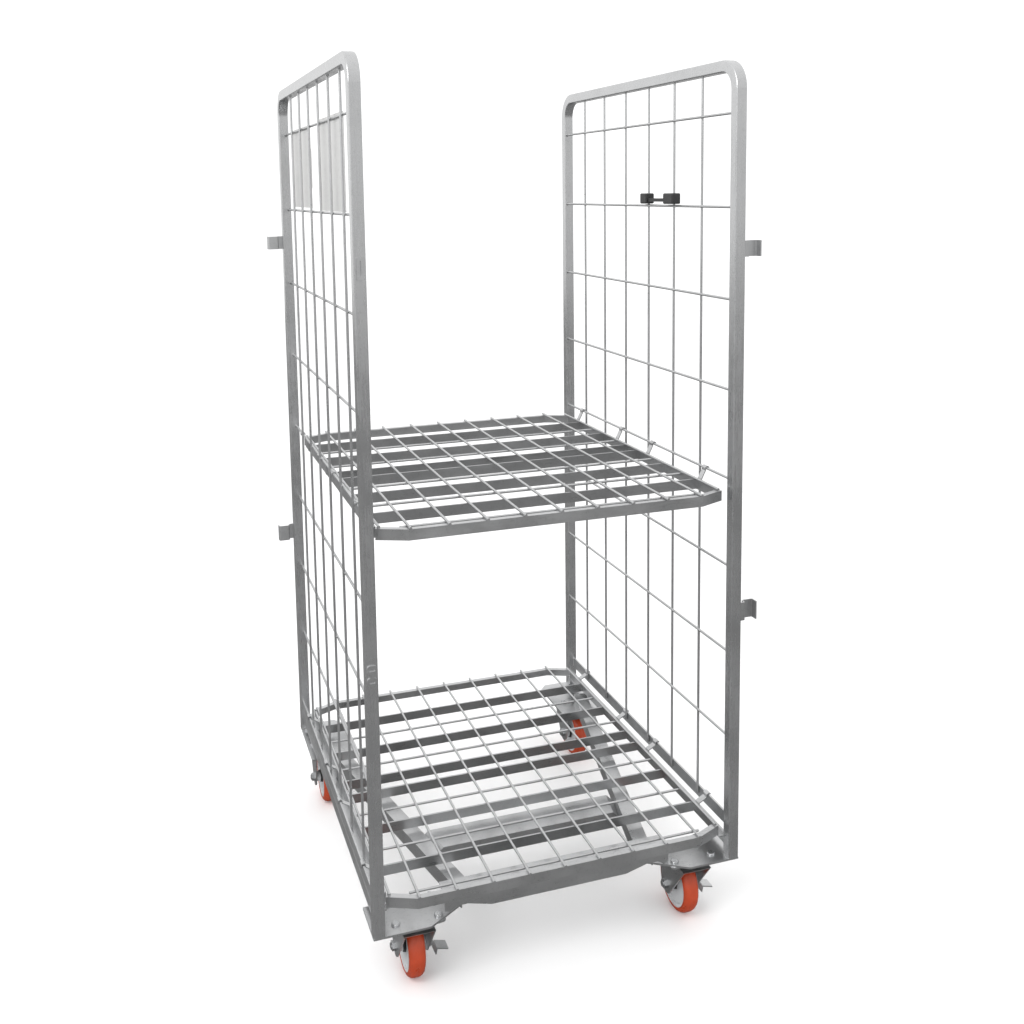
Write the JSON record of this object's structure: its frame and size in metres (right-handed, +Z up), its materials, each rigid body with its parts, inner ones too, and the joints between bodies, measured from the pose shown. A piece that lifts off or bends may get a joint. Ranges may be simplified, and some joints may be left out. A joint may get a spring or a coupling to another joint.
{
  "type": "roll cage container",
  "caption": "Mesh-sided roll cage container on a nesting base, with a folding deck and shelf, four swivel casters and two brake levers.",
  "frame": {"origin": "on the floor under the middle of the object", "axes": "+Z up, +X towards the hinge-side panel on the right, -Y towards the open front"},
  "size_m": [0.806, 0.856, 1.69],
  "materials": {
    "zinc_tube": "bright zinc plated tube",
    "zinc_wire": "bright zinc plated wire",
    "zinc_sheet": "bright zinc plated sheet",
    "plate": "smooth zinc plated plate",
    "fastener": "zinc plated fastener",
    "rim": "light grey moulded polyamide",
    "tread": "semi-gloss orange-red polyurethane",
    "black_plastic": "moulded black plastic"
  },
  "bodies": {
    "base": {"card_holder": "plate", "caster_bolts": "fastener", "caster_nuts": "fastener", "caster_top_plates": "zinc_sheet", "cross_channel": "zinc_sheet", "front_cross_member": "zinc_sheet", "front_left_corner_plate": "zinc_sheet", "front_right_corner_plate": "zinc_sheet", "kingpins": "fastener", "left_bottom_rail": "zinc_sheet", "left_latch_brackets": "zinc_sheet", "left_panel_frame": "zinc_tube", "left_panel_mesh": "zinc_wire", "left_side_rail": "zinc_sheet", "left_splayed_member": "zinc_sheet", "left_strap_fittings": "zinc_sheet", "rear_left_corner_plate": "zinc_sheet", "rear_right_corner_plate": "zinc_sheet", "right_bottom_rail": "zinc_sheet", "right_latch_brackets": "zinc_sheet", "right_panel_frame": "zinc_tube", "right_panel_mesh": "zinc_wire", "right_side_rail": "zinc_sheet", "right_splayed_member": "zinc_sheet", "right_strap_fittings": "zinc_sheet", "sign_plate": "plate", "strap_clip": "black_plastic"},
    "shelf": {"shelf_cross_bars": "zinc_sheet", "shelf_drop_hooks": "zinc_sheet", "shelf_end_angles": "zinc_sheet", "shelf_hinge_clips": "zinc_sheet", "shelf_mesh": "zinc_wire", "shelf_side_bars": "zinc_sheet"},
    "deck": {"deck_cross_bars": "zinc_sheet", "deck_drop_hooks": "zinc_sheet", "deck_end_angles": "zinc_sheet", "deck_hinge_clips": "zinc_sheet", "deck_mesh": "zinc_wire", "deck_side_bars": "zinc_sheet"},
    "front_left_swivel": {"front_left_axle": "fastener", "front_left_fork": "zinc_sheet", "front_left_lever_pin": "fastener"},
    "front_right_swivel": {"front_right_axle": "fastener", "front_right_fork": "zinc_sheet", "front_right_lever_pin": "fastener"},
    "rear_left_swivel": {"rear_left_axle": "fastener", "rear_left_fork": "zinc_sheet"},
    "rear_right_swivel": {"rear_right_axle": "fastener", "rear_right_fork": "zinc_sheet"},
    "front_left_wheel": {"front_left_rim": "rim", "front_left_tread": "tread"},
    "front_right_wheel": {"front_right_rim": "rim", "front_right_tread": "tread"},
    "rear_left_wheel": {"rear_left_rim": "rim", "rear_left_tread": "tread"},
    "rear_right_wheel": {"rear_right_rim": "rim", "rear_right_tread": "tread"},
    "front_left_brake": {"front_left_brake_lever": "zinc_sheet"},
    "front_right_brake": {"front_right_brake_lever": "zinc_sheet"}
  },
  "joints": [
    {"name": "shelf_fold", "type": "hinge", "parent": "base", "child": "shelf", "pos_m": [0.35145, 0, 0.904], "axis": [0, 1, 0], "range_deg": [0, 90]},
    {"name": "deck_fold", "type": "hinge", "parent": "base", "child": "deck", "pos_m": [0.361, 0, 0.2135], "axis": [0, 1, 0], "range_deg": [0, 60]},
    {"name": "rear_left_swivel", "type": "hinge", "parent": "base", "child": "rear_left_swivel", "pos_m": [-0.323, 0.353, 0.13], "axis": [0, 0, 1], "continuous": true},
    {"name": "rear_left_wheel_spin", "type": "hinge", "parent": "rear_left_swivel", "child": "rear_left_wheel", "pos_m": [-0.323, 0.315, 0.06], "axis": [1, 0, 0], "continuous": true},
    {"name": "front_left_swivel", "type": "hinge", "parent": "base", "child": "front_left_swivel", "pos_m": [-0.281, -0.368, 0.13], "axis": [0, 0, 1], "continuous": true},
    {"name": "front_left_wheel_spin", "type": "hinge", "parent": "front_left_swivel", "child": "front_left_wheel", "pos_m": [-0.281, -0.342, 0.06], "axis": [1, 0, 0], "continuous": true},
    {"name": "front_left_brake_press", "type": "hinge", "parent": "front_left_swivel", "child": "front_left_brake", "pos_m": [-0.244, -0.342, 0.056], "axis": [0, 1, 0], "range_deg": [0, 12]},
    {"name": "rear_right_swivel", "type": "hinge", "parent": "base", "child": "rear_right_swivel", "pos_m": [0.323, 0.353, 0.13], "axis": [0, 0, 1], "continuous": true},
    {"name": "rear_right_wheel_spin", "type": "hinge", "parent": "rear_right_swivel", "child": "rear_right_wheel", "pos_m": [0.323, 0.315, 0.06], "axis": [1, 0, 0], "continuous": true},
    {"name": "front_right_swivel", "type": "hinge", "parent": "base", "child": "front_right_swivel", "pos_m": [0.281, -0.368, 0.13], "axis": [0, 0, 1], "continuous": true},
    {"name": "front_right_wheel_spin", "type": "hinge", "parent": "front_right_swivel", "child": "front_right_wheel", "pos_m": [0.281, -0.342, 0.06], "axis": [1, 0, 0], "continuous": true},
    {"name": "front_right_brake_press", "type": "hinge", "parent": "front_right_swivel", "child": "front_right_brake", "pos_m": [0.318, -0.342, 0.056], "axis": [0, 1, 0], "range_deg": [0, 12]}
  ]
}
